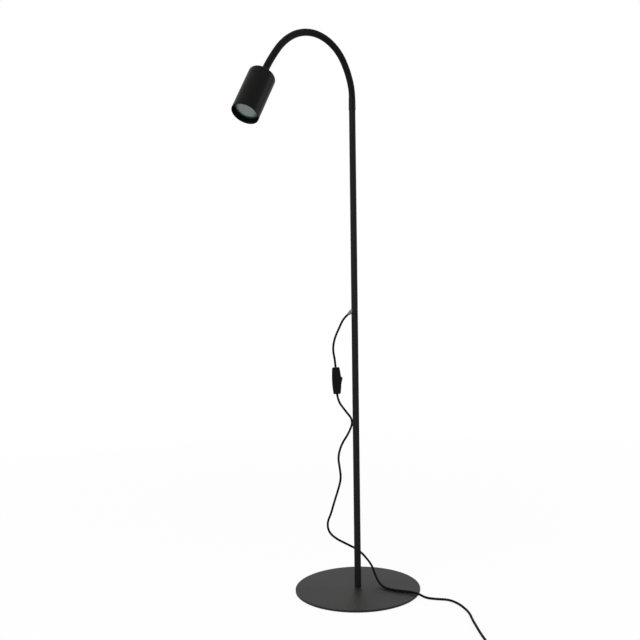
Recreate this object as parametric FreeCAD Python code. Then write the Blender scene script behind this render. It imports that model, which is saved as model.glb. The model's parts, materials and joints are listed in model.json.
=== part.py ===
import FreeCAD, Part
import math
import os

# Gooseneck reading floor lamp: a round base, a straight pole, a bendable neck of eight arc links,
# a cylindrical spot shade with a two-pin reflector lamp, and a mains lead with a hand switch.
# Millimetres. +Z is up, the origin is the centre of the base's underside, and the neck arches
# towards -X in the XZ plane.

V = FreeCAD.Vector
Z_AXIS = V(0, 0, 1)
Y_AXIS = V(0, 1, 0)
X_AXIS = V(1, 0, 0)

# ---- base and pole ----
BASE_DIAMETER = 280.0
BASE_THICKNESS = 4.2
BASE_EDGE_RADIUS = 0.9
PAD_DIAMETER = 272.0
PAD_THICKNESS = 0.8
POLE_DIAMETER = 15.0
POLE_WALL = 1.2
POLE_TOP = 1096.0
FIT_GAP = 0.05              # radial play between pieces pushed into each other
FOOT_THREAD_DIAMETER = 8.0
FOOT_HEAD_DIAMETER = 14.6
FOOT_HEAD_RIM = 0.3
FOOT_KEY_WIDTH = 5.0
FOOT_KEY_DEPTH = 2.0
FOOT_INSERT_LENGTH = 22.0
FOOT_THREAD_LENGTH = 18.0

# ---- neck ----
COLLAR_LENGTH = 31.0
COLLAR_DIAMETER = 16.4
COLLAR_TOP_DIAMETER = 15.8
COLLAR_CHAMFER = 0.9
COLLAR_SPIGOT = 18.0
CONDUIT_SEAT = 14.0         # how far the steel conduit reaches down into the collar
NECK_DIAMETER = 15.0
NECK_FLEX_LENGTH = 382.5    # along the centreline, from the collar to the shade
NECK_TURNS = (13.5, 19.0, 34.5, 33.5, 26.0, 19.0, 6.5, 1.0)     # degrees turned by each link
HEAD_SWAY = 5.0             # degrees that the head leans out of the neck's plane, at the last joint
SLEEVE_WALL = 1.2
CONDUIT_WALL = 2.6
LINK_GAP = 0.3              # between a link's round end and the cup of the next one

# ---- mains lead ----
LEAD_DIAMETER = 5.0
LEAD_PLAY = 0.1
EXIT_AZIMUTH = 140.0        # the side of the pole that the lead leaves from
EXIT_HEIGHT = 626.4
EXIT_SLOPE = 40.0           # degrees below the horizontal
GROMMET_REACH = 9.5
GROMMET_DIAMETER = 9.6
GROMMET_TIP_DIAMETER = 6.8
GROMMET_THROAT = 7.8
GROMMET_INNER_REACH = 2.0
LEAD_BEND_RADIUS = 12.0

# ---- shade, lamp holder and lamp ----
SHADE_DIAMETER = 58.5
SHADE_LENGTH = 107.0
SHADE_WALL = 1.5
SHADE_REAR_RADIUS = 4.5
SHADE_LIP = 0.5
NIPPLE_DIAMETER = 10.0
NIPPLE_SHOULDER = 8.0
NIPPLE_THREAD_LENGTH = 8.5
NIPPLE_BORE = 6.4
NUT_WIDTH = 14.0
NUT_THICKNESS = 3.0
STRAP_THICKNESS = 1.0
STRAP_WIDTH = 14.0
HOLDER_DIAMETER = 28.0
HOLDER_WIDTH = 18.0
HOLDER_LENGTH = 18.0
LAMP_RECESS = 9.0           # from the shade's mouth to the lamp's glass
LAMP_DIAMETER = 50.0
LAMP_LENGTH = 47.0          # glass to the shoulder that meets the holder
LAMP_RIM_HEIGHT = 5.0
LAMP_BASE_DIAMETER = 19.0
LAMP_BASE_HEIGHT = 13.0
LAMP_GLASS_DIAMETER = 45.0
LAMP_GLASS_THICKNESS = 1.8
LAMP_WALL = 1.4
PIN_SPACING = 10.0
PIN_LENGTH = 7.0
PIN_DIAMETER = 2.9
PIN_HEAD_DIAMETER = 4.8
PIN_HEAD_HEIGHT = 2.2

# ---- hand switch ----
SWITCH_LENGTH = 60.5
SWITCH_WIDTH = 26.0
SWITCH_FRONT = 11.3         # from the lead's line to the bellied front, and below to the back
SWITCH_BACK = 9.5
SWITCH_END_FRONT = 8.4
SWITCH_END_BACK = 7.6
SWITCH_REACH = 30.0         # safely beyond the housing, for cutting shapes
SWITCH_WALL = 1.7
SWITCH_CORNER = 2.2
SWITCH_OUT = 43.8           # from the pole's axis to the switch's middle
SWITCH_HEIGHT = 468.8
SWITCH_LEAN = 2.5
ROCKER_LENGTH = 19.2
ROCKER_FACE_LENGTH = 14.0
ROCKER_WIDTH = 11.4
ROCKER_STAND = 7.9          # from the pivot to the rocker's face
ROCKER_WAIST = 4.5
ROCKER_DISH = 0.3
ROCKER_THROW = 28.0
ROCKER_GAP = 1.4
ROCKER_SIDE_GAP = 0.5
PIVOT_DIAMETER = 2.4
PIVOT_DEPTH = 5.6
PIVOT_PLAY = 0.06
CHEEK_THICKNESS = 1.6
SWITCH_SCREW_DIAMETER = 3.0
SWITCH_SCREW_HEAD = 5.0
SWITCH_SCREW_SINK = 3.4     # from the back's face to the underside of the head
BOSS_DIAMETER = 6.4
BOSS_CLEARANCE = 0.6
BOSS_FROM_END = 11.0
CONTACT_WIDTH = 4.4
CONTACT_THICKNESS = 1.2
CONTACT_HEIGHT = 4.8
CONTACT_GAP = 2.4
CONTACT_END = 15.5
LEAD_TAIL = 8.0             # length of the lead inside the switch's end wall
LEAD_STRAIGHT = 14.0        # how far the lead keeps the direction that it leaves in

# ---- plug and put-away coil ----
PLUG_WIDTH = 35.3
PLUG_REAR_WIDTH = 21.0
PLUG_THICKNESS = 13.7
PLUG_REAR_THICKNESS = 11.0
PLUG_LENGTH = 36.0
PLUG_CORNER = 5.6
PLUG_TAIL_LENGTH = 22.0
PLUG_TAIL_DIAMETER = 8.4
PLUG_TAIL_TIP = 6.2
PLUG_PIN_DIAMETER = 4.0
PLUG_PIN_LENGTH = 19.0
PLUG_PIN_SPACING = 18.6
COIL_TURNS = 4.25
COIL_RADIUS = 29.0
COIL_PITCH = 5.5
COIL_RISE = 5.45
COIL_LEAD_OUT = 14.0
COIL_STRAIGHT = 6.0
FLOOR_PLAY = 0.05

# The lead's free stretches, points chosen by hand: (out along the exit side, sideways, up).
UPPER_ROUTE = (
    (37.0, 1.0, 589.5),
    (47.8, 3.0, 565.5),
    (51.0, 3.0, 540.0),
)
LOWER_ROUTE = (
    (25.5, 3.0, 400.5),
    (8.8, 6.0, 376.5),
    (18.0, 7.5, 349.0),
    (35.5, 9.0, 322.0),
    (41.5, 9.0, 294.0),
    (38.0, 8.0, 268.0),
    (36.0, 8.5, 245.0),
    (42.5, 10.0, 220.0),
    (51.5, 12.0, 192.0),
    (59.5, 14.0, 164.0),
    (68.0, 16.0, 145.5),
    (66.0, 19.0, 125.5),
    (51.0, 23.0, 109.5),
    (24.5, 29.0, 94.0),
    (-1.5, 35.0, 78.0),
    (-20.0, 39.0, 59.5),
    (-31.0, 33.0, 41.0),
    (-39.0, 21.0, 26.0),
    (-46.0, 6.0, 14.0),
    (-55.0, -11.0, 7.9),
    (-69.0, -28.0, 7.7),
    (-88.5, -37.5, 7.7),
    (-110.0, -44.0, 7.7),
    (-129.5, -60.0, 8.8),
    (-147.0, -69.0, 2.6),
    (-169.0, -77.0, 2.55),
    (-195.0, -81.0, 2.55),
    (-211.5, -103.0, 2.55),
    (-221.5, -130.0, 2.55),
    (-226.0, -157.0, 2.55),
    (-226.5, -189.0, 2.55),
    (-228.0, -221.0, 2.55),
    (-231.0, -253.0, 2.55),
    (-234.5, -285.0, 2.55),
    (-237.0, -315.0, 2.55),
    (-239.0, -341.0, 2.55),
)
COIL_START = (-239.0, -368.0)

# ---- sizes worked out from those above ----
BASE_TOP = PAD_THICKNESS + BASE_THICKNESS
POLE_RADIUS = POLE_DIAMETER / 2
POLE_BORE = POLE_RADIUS - POLE_WALL
NECK_RADIUS = NECK_DIAMETER / 2
SLEEVE_BORE = NECK_RADIUS - SLEEVE_WALL
CONDUIT_RADIUS = SLEEVE_BORE - FIT_GAP
CONDUIT_BORE = CONDUIT_RADIUS - CONDUIT_WALL
CUP_RADIUS = NECK_RADIUS + LINK_GAP
LEAD_RADIUS = LEAD_DIAMETER / 2
LINKS = len(NECK_TURNS)
LINK_PITCH = NECK_FLEX_LENGTH / (LINKS - 1)
NECK_START = POLE_TOP + COLLAR_LENGTH
GLASS_FACE = SHADE_LENGTH - LAMP_RECESS
HOLDER_FACE = GLASS_FACE - LAMP_LENGTH
STRAP_SEAT = SHADE_WALL
NUT_SEAT = STRAP_SEAT + STRAP_THICKNESS
PLUG_AXIS_HEIGHT = PLUG_THICKNESS / 2
LEAD_FLOOR_HEIGHT = LEAD_RADIUS + FLOOR_PLAY


# ---------------------------------------------------------------- small helpers
def export(name, shape):
    shape.exportStep("parts/" + name + ".step")


def cylinder(radius, length, base=V(0, 0, 0), direction=Z_AXIS):
    return Part.makeCylinder(radius, length, base, direction)


def box(low, high):
    return Part.makeBox(high[0] - low[0], high[1] - low[1], high[2] - low[2], V(*low))


def revolve(points):
    """A full turn about Z of a closed outline of (radius, height) points."""
    outline = [V(radius, 0, height) for radius, height in points]
    face = Part.Face(Part.makePolygon(outline + outline[:1]))
    return face.revolve(V(0, 0, 0), Z_AXIS, 360)


def revolve_edges(edges):
    return Part.Face(Part.Wire(edges)).revolve(V(0, 0, 0), Z_AXIS, 360)


def line(start, end):
    return Part.makeLine(V(start[0], 0, start[1]), V(end[0], 0, end[1]))


def arc(start, middle, end):
    return Part.Arc(V(start[0], 0, start[1]), V(middle[0], 0, middle[1]), V(end[0], 0, end[1])).toShape()


def hexagon(width, height, base):
    corner = width / math.sqrt(3)
    points = []
    for side in range(6):
        angle = math.radians(60 * side)
        points.append(V(corner * math.cos(angle), corner * math.sin(angle), base))
    return Part.Face(Part.makePolygon(points + points[:1])).extrude(V(0, 0, height))


def placed(shape, placement):
    moved = shape.copy()
    moved.Placement = placement.multiply(moved.Placement)
    return moved


def lead_side(out, sideways, up):
    """A point given from the pole's axis, out along the side that the lead leaves from."""
    azimuth = math.radians(EXIT_AZIMUTH)
    return V(
        out * math.cos(azimuth) + sideways * math.sin(azimuth),
        out * math.sin(azimuth) - sideways * math.cos(azimuth),
        up,
    )


# ---------------------------------------------------------------- tubes along a route
def rounded_route(points):
    """Straight runs joined by tangent arcs, each as large as its two runs allow."""
    edges = []
    radii = []
    last = points[0]
    for index in range(1, len(points) - 1):
        corner = points[index]
        before = points[index - 1] - corner
        after = points[index + 1] - corner
        shorter = min(before.Length, after.Length)
        before.normalize()
        after.normalize()
        turn = math.pi - before.getAngle(after)
        setback = 0.45 * shorter
        radii.append(setback / math.tan(turn / 2))
        start = corner + before * setback
        end = corner + after * setback
        towards = before + after
        towards.normalize()
        bow = radii[-1] / math.cos(turn / 2) - radii[-1]
        edges.append(Part.makeLine(last, start))
        edges.append(Part.Arc(start, corner + towards * bow, end).toShape())
        last = end
    edges.append(Part.makeLine(last, points[-1]))
    return Part.Wire(edges), radii


def tube_on(wire, radius):
    start = wire.Edges[0].valueAt(wire.Edges[0].FirstParameter)
    direction = wire.Edges[0].tangentAt(wire.Edges[0].FirstParameter)
    profile = Part.Wire(Part.makeCircle(radius, start, direction))
    return wire.makePipeShell([profile], True, False)


def free_stretch(name, points):
    wire, radii = rounded_route(points)
    solid = tube_on(wire, LEAD_RADIUS)
    expected = math.pi * LEAD_RADIUS ** 2 * wire.Length
    print(name, "length %.1f" % wire.Length, "volume ratio %.5f" % (solid.Volume / expected))
    print("   radii", " ".join("%.0f" % radius for radius in radii), "least %.1f" % min(radii))
    export(name, solid)
    return wire.Length


def biarc(start, start_way, end, end_way):
    """Two arcs, tangent to each other and to the two directions given."""
    across = end - start
    ways = start_way + end_way
    bend = 1 - start_way.dot(end_way)
    if bend < 1e-9:
        reach = across.dot(across) / (2 * across.dot(ways))
    else:
        pull = across.dot(ways)
        reach = (math.sqrt(pull * pull + 2 * bend * across.dot(across)) - pull) / (2 * bend)
    first = start + start_way * reach
    second = end - end_way * reach
    meeting = (first + second) * 0.5
    return [arc_by_corner(start, first, meeting), arc_by_corner(meeting, second, end)]


def arc_by_corner(start, corner, end):
    """The arc that touches start-corner at start and corner-end at end."""
    middle = (start + end) * 0.5
    rise = corner - middle
    half = (end - start).Length / 2
    if rise.Length < 1e-6:
        return Part.makeLine(start, end)
    sagitta = half * math.tan(math.atan2(rise.Length, half) / 2)
    rise.normalize()
    return Part.Arc(start, middle + rise * sagitta, end).toShape()


# ---------------------------------------------------------------- base and pole
def make_base():
    rim = BASE_DIAMETER / 2
    edge = BASE_EDGE_RADIUS
    low = PAD_THICKNESS
    sagitta = edge * (1 - math.sqrt(0.5))
    disc = revolve_edges([
        line((0, low), (rim, low)),
        line((rim, low), (rim, BASE_TOP - edge)),
        arc((rim, BASE_TOP - edge), (rim - sagitta, BASE_TOP - sagitta), (rim - edge, BASE_TOP)),
        line((rim - edge, BASE_TOP), (0, BASE_TOP)),
        line((0, BASE_TOP), (0, low)),
    ])
    export("base_disc", disc.cut(foot_screw_body(FIT_GAP)))
    export("base_pad", cylinder(PAD_DIAMETER / 2, PAD_THICKNESS))
    key = hexagon(FOOT_KEY_WIDTH, FOOT_KEY_DEPTH, PAD_THICKNESS)
    export("foot_screw", foot_screw_body(0).cut(key))


def foot_screw_body(gap):
    """The countersunk screw from below; a gap makes the hole that it sits in."""
    head = FOOT_HEAD_DIAMETER / 2 + gap
    shank = FOOT_THREAD_DIAMETER / 2 + gap
    rim = PAD_THICKNESS + FOOT_HEAD_RIM
    return revolve([
        (0, PAD_THICKNESS),
        (head, PAD_THICKNESS),
        (head, rim),
        (shank, rim + head - shank),
        (shank, BASE_TOP + FOOT_THREAD_LENGTH),
        (0, BASE_TOP + FOOT_THREAD_LENGTH),
    ])


def make_pole():
    length = POLE_TOP - BASE_TOP
    tube = cylinder(POLE_RADIUS, length, V(0, 0, BASE_TOP))
    tube = tube.cut(cylinder(POLE_BORE, length, V(0, 0, BASE_TOP)))
    throat = cylinder(GROMMET_THROAT / 2 + FIT_GAP, POLE_DIAMETER, V(0, 0, -POLE_RADIUS))
    export("pole_tube", tube.cut(placed(throat, grommet_placement())))

    insert = cylinder(POLE_BORE - FIT_GAP, FOOT_INSERT_LENGTH, V(0, 0, BASE_TOP))
    insert = insert.cut(cylinder(FOOT_THREAD_DIAMETER / 2 + FIT_GAP, FOOT_INSERT_LENGTH, V(0, 0, BASE_TOP)))
    export("foot_insert", insert)

    bottom = COLLAR_DIAMETER / 2
    top = COLLAR_TOP_DIAMETER / 2
    round_off = top - NECK_RADIUS
    collar = revolve([
        (LEAD_RADIUS + FIT_GAP, POLE_TOP - COLLAR_SPIGOT),
        (POLE_BORE - FIT_GAP, POLE_TOP - COLLAR_SPIGOT),
        (POLE_BORE - FIT_GAP, POLE_TOP),
        (bottom - COLLAR_CHAMFER, POLE_TOP),
        (bottom, POLE_TOP + COLLAR_CHAMFER),
        (top, NECK_START - 3 * round_off),
        (NECK_RADIUS, NECK_START),
        (CONDUIT_RADIUS + FIT_GAP, NECK_START),
        (CONDUIT_RADIUS + FIT_GAP, NECK_START - CONDUIT_SEAT),
        (LEAD_RADIUS + FIT_GAP, NECK_START - CONDUIT_SEAT),
    ])
    export("neck_collar", collar)


# ---------------------------------------------------------------- neck
def link_length(index):
    """The first and last links are half as long, because they only reach from one joint."""
    return LINK_PITCH / 2 if index in (0, LINKS - 1) else LINK_PITCH


def link_starts():
    """Each link's start in the neck's plane: placement and turn so far, and the neck's end."""
    frames = []
    point = V(0, 0, NECK_START)
    turned = 0.0
    for index, turn in enumerate(NECK_TURNS):
        frames.append((point, turned))
        bend = math.radians(turn)
        radius = link_length(index) / bend
        heading = math.radians(turned)
        inward = V(-math.cos(heading), 0, -math.sin(heading))
        centre = point + inward * radius
        new_heading = heading + bend
        point = centre + V(math.cos(new_heading), 0, math.sin(new_heading)) * radius
        turned += turn
    frames.append((point, turned))
    return frames


def frame_placement(frame):
    point, turned = frame
    return FreeCAD.Placement(point, FreeCAD.Rotation(Y_AXIS, -turned))


def last_link_placement(frame):
    """The last link starts leaning out of the neck's plane, about its joint's centre."""
    lean = FreeCAD.Placement(V(0, 0, 0), FreeCAD.Rotation(X_AXIS, HEAD_SWAY))
    return frame_placement(frame).multiply(lean)


def arc_tube(index, outer, inner):
    """A link's length of tube, from its own start at the origin, bending towards -X."""
    bend = NECK_TURNS[index]
    radius = link_length(index) / math.radians(bend)
    ring = Part.Face(Part.Wire(Part.makeCircle(outer, V(0, 0, 0), Z_AXIS)))
    if inner > 0:
        ring = ring.cut(Part.Face(Part.Wire(Part.makeCircle(inner, V(0, 0, 0), Z_AXIS))))
        ring = ring.Faces[0]
    return ring.revolve(V(-radius, 0, 0), V(0, -1, 0), bend)


def round_end(outer, inner):
    """The part of a link beyond its end, bounded by a ball about the joint's centre."""
    ball = NECK_RADIUS
    shoulder = math.sqrt(max(ball ** 2 - outer ** 2, 0))
    tip = math.sqrt(ball ** 2 - inner ** 2)
    middle_angle = (math.atan2(shoulder, outer) + math.atan2(tip, inner)) / 2
    middle = (ball * math.cos(middle_angle), ball * math.sin(middle_angle))
    edges = [line((inner, 0), (outer, 0))]
    if shoulder > 1e-6:
        edges.append(line((outer, 0), (outer, shoulder)))
    edges.append(arc((outer, shoulder), middle, (inner, tip)))
    edges.append(line((inner, tip), (inner, 0)))
    return revolve_edges(edges)


def local_end(index):
    """The placement of a link's far end, seen from its own start."""
    bend = math.radians(NECK_TURNS[index])
    radius = link_length(index) / bend
    point = V(-radius + radius * math.cos(bend), 0, radius * math.sin(bend))
    return FreeCAD.Placement(point, FreeCAD.Rotation(Y_AXIS, -NECK_TURNS[index]))


def link_piece(index, outer, inner):
    """One layer of a link: an arc of tube with a round far end and a cup at its near end."""
    piece = arc_tube(index, outer, inner)
    if index < LINKS - 1:
        piece = piece.fuse(placed(round_end(outer, inner), local_end(index)))
    if index > 0:
        piece = piece.cut(Part.makeSphere(CUP_RADIUS))
    return piece


def make_neck(frames):
    for index in range(LINKS):
        at = frame_placement(frames[index]) if index < LINKS - 1 else last_link_placement(frames[index])
        sleeve = link_piece(index, NECK_RADIUS, SLEEVE_BORE)
        export("neck_sleeve_%d" % index, placed(sleeve, at))
        conduit = link_piece(index, CONDUIT_RADIUS, CONDUIT_BORE)
        if index == 0:
            seat = cylinder(CONDUIT_RADIUS, CONDUIT_SEAT, V(0, 0, -CONDUIT_SEAT))
            bore = cylinder(CONDUIT_BORE, CONDUIT_SEAT, V(0, 0, -CONDUIT_SEAT))
            conduit = conduit.fuse(seat.cut(bore))
        if index == LINKS - 1:
            crimp = cylinder(NECK_DIAMETER, NIPPLE_SHOULDER * 2, V(0, 0, -NIPPLE_SHOULDER))
            conduit = conduit.cut(placed(crimp, local_end(index)))
        export("neck_conduit_%d" % index, placed(conduit, at))
        if 0 < index < LINKS - 1:
            export("neck_lead_%d" % index, placed(solid_link(index), at))


def solid_link(index):
    """The lead's length inside one link, ending on the same ball and cup as the link."""
    piece = arc_tube(index, LEAD_RADIUS, 0)
    if index < LINKS - 1:
        cap = cylinder(LEAD_RADIUS, NECK_RADIUS).common(Part.makeSphere(NECK_RADIUS))
        piece = piece.fuse(placed(cap, local_end(index)))
    if index > 0:
        piece = piece.cut(Part.makeSphere(CUP_RADIUS))
    return piece


# ---------------------------------------------------------------- lead in the pole, and its way out
def grommet_placement():
    """Local +Z runs out of the pole, down along the lead's slope."""
    slope = FreeCAD.Rotation(Y_AXIS, 90 + EXIT_SLOPE)
    azimuth = FreeCAD.Rotation(Z_AXIS, EXIT_AZIMUTH)
    return FreeCAD.Placement(lead_side(POLE_RADIUS, 0, EXIT_HEIGHT), azimuth.multiply(slope))


def exit_tip(reach):
    """A point on the grommet's axis, that far from the pole's wall."""
    slope = math.radians(EXIT_SLOPE)
    return lead_side(POLE_RADIUS + reach * math.cos(slope), 0, EXIT_HEIGHT - reach * math.sin(slope))


def make_grommet():
    boss = GROMMET_DIAMETER / 2
    tip = GROMMET_TIP_DIAMETER / 2
    body = revolve([
        (0, -POLE_RADIUS),
        (boss, -POLE_RADIUS),
        (boss, POLE_RADIUS * 0.3),
        (tip + 0.7, GROMMET_REACH * 0.55),
        (tip, GROMMET_REACH),
        (0, GROMMET_REACH),
    ])
    outside = placed(body, grommet_placement()).cut(
        cylinder(POLE_RADIUS + FIT_GAP, POLE_DIAMETER * 4, V(0, 0, EXIT_HEIGHT - POLE_DIAMETER * 2)))
    throat = placed(cylinder(GROMMET_THROAT / 2, POLE_DIAMETER, V(0, 0, -POLE_RADIUS)), grommet_placement())
    shell = cylinder(POLE_RADIUS + 1, POLE_DIAMETER * 4, V(0, 0, EXIT_HEIGHT - POLE_DIAMETER * 2))
    core = cylinder(POLE_BORE - GROMMET_INNER_REACH / 4, POLE_DIAMETER * 4, V(0, 0, EXIT_HEIGHT - POLE_DIAMETER * 2))
    throat = throat.common(shell).cut(core)
    throat = throat.common(placed(cylinder(POLE_DIAMETER, POLE_DIAMETER * 2, V(0, 0, -POLE_RADIUS * 0.9)),
                                  grommet_placement()))
    grommet = outside.fuse(throat).removeSplitter()
    bore = placed(cylinder(LEAD_RADIUS + LEAD_PLAY, POLE_DIAMETER * 4, V(0, 0, -POLE_DIAMETER * 2)), grommet_placement())
    export("pole_grommet", grommet.cut(bore))


def make_pole_lead():
    """The lead from the grommet's tip, up the pole and through the neck's first link."""
    slope = math.radians(EXIT_SLOPE)
    axis_height = EXIT_HEIGHT + POLE_RADIUS * math.tan(slope)
    turn = math.pi / 2 - slope
    setback = LEAD_BEND_RADIUS * math.tan(turn / 2)
    corner = V(0, 0, axis_height)
    start = exit_tip(GROMMET_REACH)
    way_in = start - corner
    way_in.normalize()
    bisector = way_in + Z_AXIS
    bisector.normalize()
    bow = LEAD_BEND_RADIUS / math.cos(turn / 2) - LEAD_BEND_RADIUS
    bend_start = corner + way_in * setback
    bend_end = corner + Z_AXIS * setback
    wire = Part.Wire([
        Part.makeLine(start, bend_start),
        Part.Arc(bend_start, corner + bisector * bow, bend_end).toShape(),
        Part.makeLine(bend_end, V(0, 0, NECK_START)),
    ])
    lead = tube_on(wire, LEAD_RADIUS)
    first = placed(solid_link(0), FreeCAD.Placement(V(0, 0, NECK_START), FreeCAD.Rotation()))
    export("pole_lead", lead.fuse(first))


# ---------------------------------------------------------------- head, built along +Z from the neck's end
def make_head(last_link):
    at = last_link.multiply(local_end(LINKS - 1))
    export("shade", placed(shade_body(), at))
    export("neck_nipple", placed(nipple_body(), at))
    nut = hexagon(NUT_WIDTH, NUT_THICKNESS, NUT_SEAT).cut(cylinder(NIPPLE_DIAMETER / 2 + FIT_GAP, SHADE_LENGTH))
    export("nipple_nut", placed(nut, at))
    export("holder_strap", placed(strap_body(), at))
    export("strap_screws", placed(Part.makeCompound(strap_screws()), at))
    export("lampholder", placed(holder_body(), at))
    export("lamp_housing", placed(lamp_housing(), at))
    export("lamp_glass", placed(lamp_glass(), at))
    export("lamp_capsule", placed(lamp_capsule(), at))
    export("lamp_pins", placed(Part.makeCompound(lamp_pins()), at))
    export("holder_wires", placed(Part.makeCompound(holder_wires()), at))
    inner = cylinder(LEAD_RADIUS, NUT_SEAT + NUT_THICKNESS + NIPPLE_THREAD_LENGTH)
    lead = solid_link(LINKS - 1).fuse(placed(inner, local_end(LINKS - 1)))
    export("head_lead", placed(lead, last_link))


def shade_body():
    outer = SHADE_DIAMETER / 2
    inner = outer - SHADE_WALL
    big = SHADE_REAR_RADIUS
    small = big - SHADE_WALL
    big_sag = big * (1 - math.sqrt(0.5))
    small_sag = small * (1 - math.sqrt(0.5))
    hole = NIPPLE_DIAMETER / 2 + FIT_GAP
    lip = SHADE_LIP
    return revolve_edges([
        line((hole, 0), (outer - big, 0)),
        arc((outer - big, 0), (outer - big_sag, big_sag), (outer, big)),
        line((outer, big), (outer, SHADE_LENGTH - lip)),
        arc((outer, SHADE_LENGTH - lip), (outer - lip * 0.293, SHADE_LENGTH - lip * 0.293), (outer - lip, SHADE_LENGTH)),
        line((outer - lip, SHADE_LENGTH), (inner, SHADE_LENGTH)),
        line((inner, SHADE_LENGTH), (inner, big)),
        arc((inner, big), (inner - small_sag, SHADE_WALL + small_sag), (inner - small, SHADE_WALL)),
        line((inner - small, SHADE_WALL), (hole, SHADE_WALL)),
        line((hole, SHADE_WALL), (hole, 0)),
    ])


def nipple_body():
    bore = NIPPLE_BORE / 2
    return revolve([
        (bore, -NIPPLE_SHOULDER + FIT_GAP),
        (CONDUIT_RADIUS - FIT_GAP, -NIPPLE_SHOULDER + FIT_GAP),
        (CONDUIT_RADIUS - FIT_GAP, 0),
        (NIPPLE_DIAMETER / 2, 0),
        (NIPPLE_DIAMETER / 2, NIPPLE_THREAD_LENGTH),
        (bore, NIPPLE_THREAD_LENGTH),
    ])


def strap_body():
    """A steel U: its foot is held under the nut and its legs carry the lamp holder."""
    reach = HOLDER_DIAMETER / 2 + FIT_GAP
    half = STRAP_WIDTH / 2
    far = HOLDER_FACE - HOLDER_LENGTH * 0.25
    outer = box((-reach - STRAP_THICKNESS, -half, STRAP_SEAT), (reach + STRAP_THICKNESS, half, far))
    inner = box((-reach, -half, NUT_SEAT), (reach, half, far))
    strap = outer.cut(inner).cut(cylinder(NIPPLE_DIAMETER / 2 + FIT_GAP, SHADE_LENGTH))
    hole = cylinder(1.6, 2 * reach + 4, V(-reach - 2, 0, screw_height()), V(1, 0, 0))
    return strap.cut(hole)


def screw_height():
    return HOLDER_FACE - HOLDER_LENGTH / 2


def strap_screws():
    reach = HOLDER_DIAMETER / 2 + FIT_GAP + STRAP_THICKNESS
    screws = []
    for side in (-1, 1):
        head = cylinder(2.8, 1.6, V(side * reach, 0, screw_height()), V(side, 0, 0))
        shank = cylinder(1.5, 6.0, V(side * reach, 0, screw_height()), V(-side, 0, 0))
        screws.append(head.fuse(shank))
    return screws


def holder_body():
    low = HOLDER_FACE - HOLDER_LENGTH
    body = cylinder(HOLDER_DIAMETER / 2, HOLDER_LENGTH, V(0, 0, low))
    body = body.common(box((-HOLDER_DIAMETER, -HOLDER_WIDTH / 2, low), (HOLDER_DIAMETER, HOLDER_WIDTH / 2, HOLDER_FACE)))
    flat = HOLDER_DIAMETER / 2
    for side in (-1, 1):
        pin = V(side * PIN_SPACING / 2, 0, HOLDER_FACE - PIN_LENGTH - 1)
        body = body.cut(cylinder(PIN_HEAD_DIAMETER / 2 + 0.4, PIN_LENGTH + 1, pin))
        body = body.cut(cylinder(1.0, HOLDER_LENGTH / 3, V(side * PIN_SPACING / 2, 0, low)))
        hole = cylinder(1.5 + FIT_GAP, 6.0, V(side * flat, 0, screw_height()), V(-side, 0, 0))
        body = body.cut(hole)
    return body


def lamp_housing():
    """Reflector body: a rim, a flared bowl and the round base block, hollow behind the glass."""
    rim = LAMP_DIAMETER / 2
    neck = LAMP_BASE_DIAMETER / 2
    shoulder = HOLDER_FACE + LAMP_BASE_HEIGHT
    bowl_top = GLASS_FACE - LAMP_RIM_HEIGHT
    glass = LAMP_GLASS_DIAMETER / 2 + FIT_GAP
    glass_seat = GLASS_FACE - LAMP_GLASS_THICKNESS
    outer_bow = (neck + 0.72 * (rim - neck), shoulder + 0.42 * (bowl_top - shoulder))
    inner_bow = (neck - 2.6 + 0.72 * (glass - 2 - neck + 2.6), shoulder + 2 + 0.42 * (glass_seat - shoulder - 2))
    return revolve_edges([
        line((0, HOLDER_FACE), (neck, HOLDER_FACE)),
        line((neck, HOLDER_FACE), (neck, shoulder)),
        arc((neck, shoulder), outer_bow, (rim - 0.6, bowl_top)),
        line((rim - 0.6, bowl_top), (rim, bowl_top)),
        line((rim, bowl_top), (rim, GLASS_FACE - 0.5)),
        line((rim, GLASS_FACE - 0.5), (rim - 0.5, GLASS_FACE)),
        line((rim - 0.5, GLASS_FACE), (glass, GLASS_FACE)),
        line((glass, GLASS_FACE), (glass, glass_seat)),
        line((glass, glass_seat), (glass - 2, glass_seat)),
        arc((glass - 2, glass_seat), inner_bow, (neck - 2.6, shoulder + 2)),
        line((neck - 2.6, shoulder + 2), (0, shoulder + 2)),
        line((0, shoulder + 2), (0, HOLDER_FACE)),
    ])


def lamp_glass():
    low = GLASS_FACE - LAMP_GLASS_THICKNESS
    return cylinder(LAMP_GLASS_DIAMETER / 2, LAMP_GLASS_THICKNESS, V(0, 0, low))


def lamp_capsule():
    low = HOLDER_FACE + LAMP_BASE_HEIGHT + 2
    bulb = cylinder(4.2, 9.0, V(0, 0, low)).fuse(Part.makeSphere(4.2, V(0, 0, low + 9.0)))
    return bulb.removeSplitter()


def lamp_pins():
    pins = []
    for side in (-1, 1):
        x = side * PIN_SPACING / 2
        shank = cylinder(PIN_DIAMETER / 2, PIN_LENGTH, V(x, 0, HOLDER_FACE - PIN_LENGTH))
        head = cylinder(PIN_HEAD_DIAMETER / 2, PIN_HEAD_HEIGHT, V(x, 0, HOLDER_FACE - PIN_LENGTH))
        pins.append(shank.fuse(head).removeSplitter())
    return pins


def holder_wires():
    """Two insulated cores from the end of the lead to the back of the holder."""
    start = NUT_SEAT + NUT_THICKNESS + NIPPLE_THREAD_LENGTH
    end = HOLDER_FACE - HOLDER_LENGTH + 4
    wires = []
    for side in (-1, 1):
        points = [
            V(side * 1.25, 0, start),
            V(side * 1.25, 0, start + 3),
            V(side * PIN_SPACING / 2, 0, end - 9),
            V(side * PIN_SPACING / 2, 0, end),
        ]
        wire, _ = rounded_route(points)
        wires.append(tube_on(wire, 0.9))
    return wires


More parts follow.
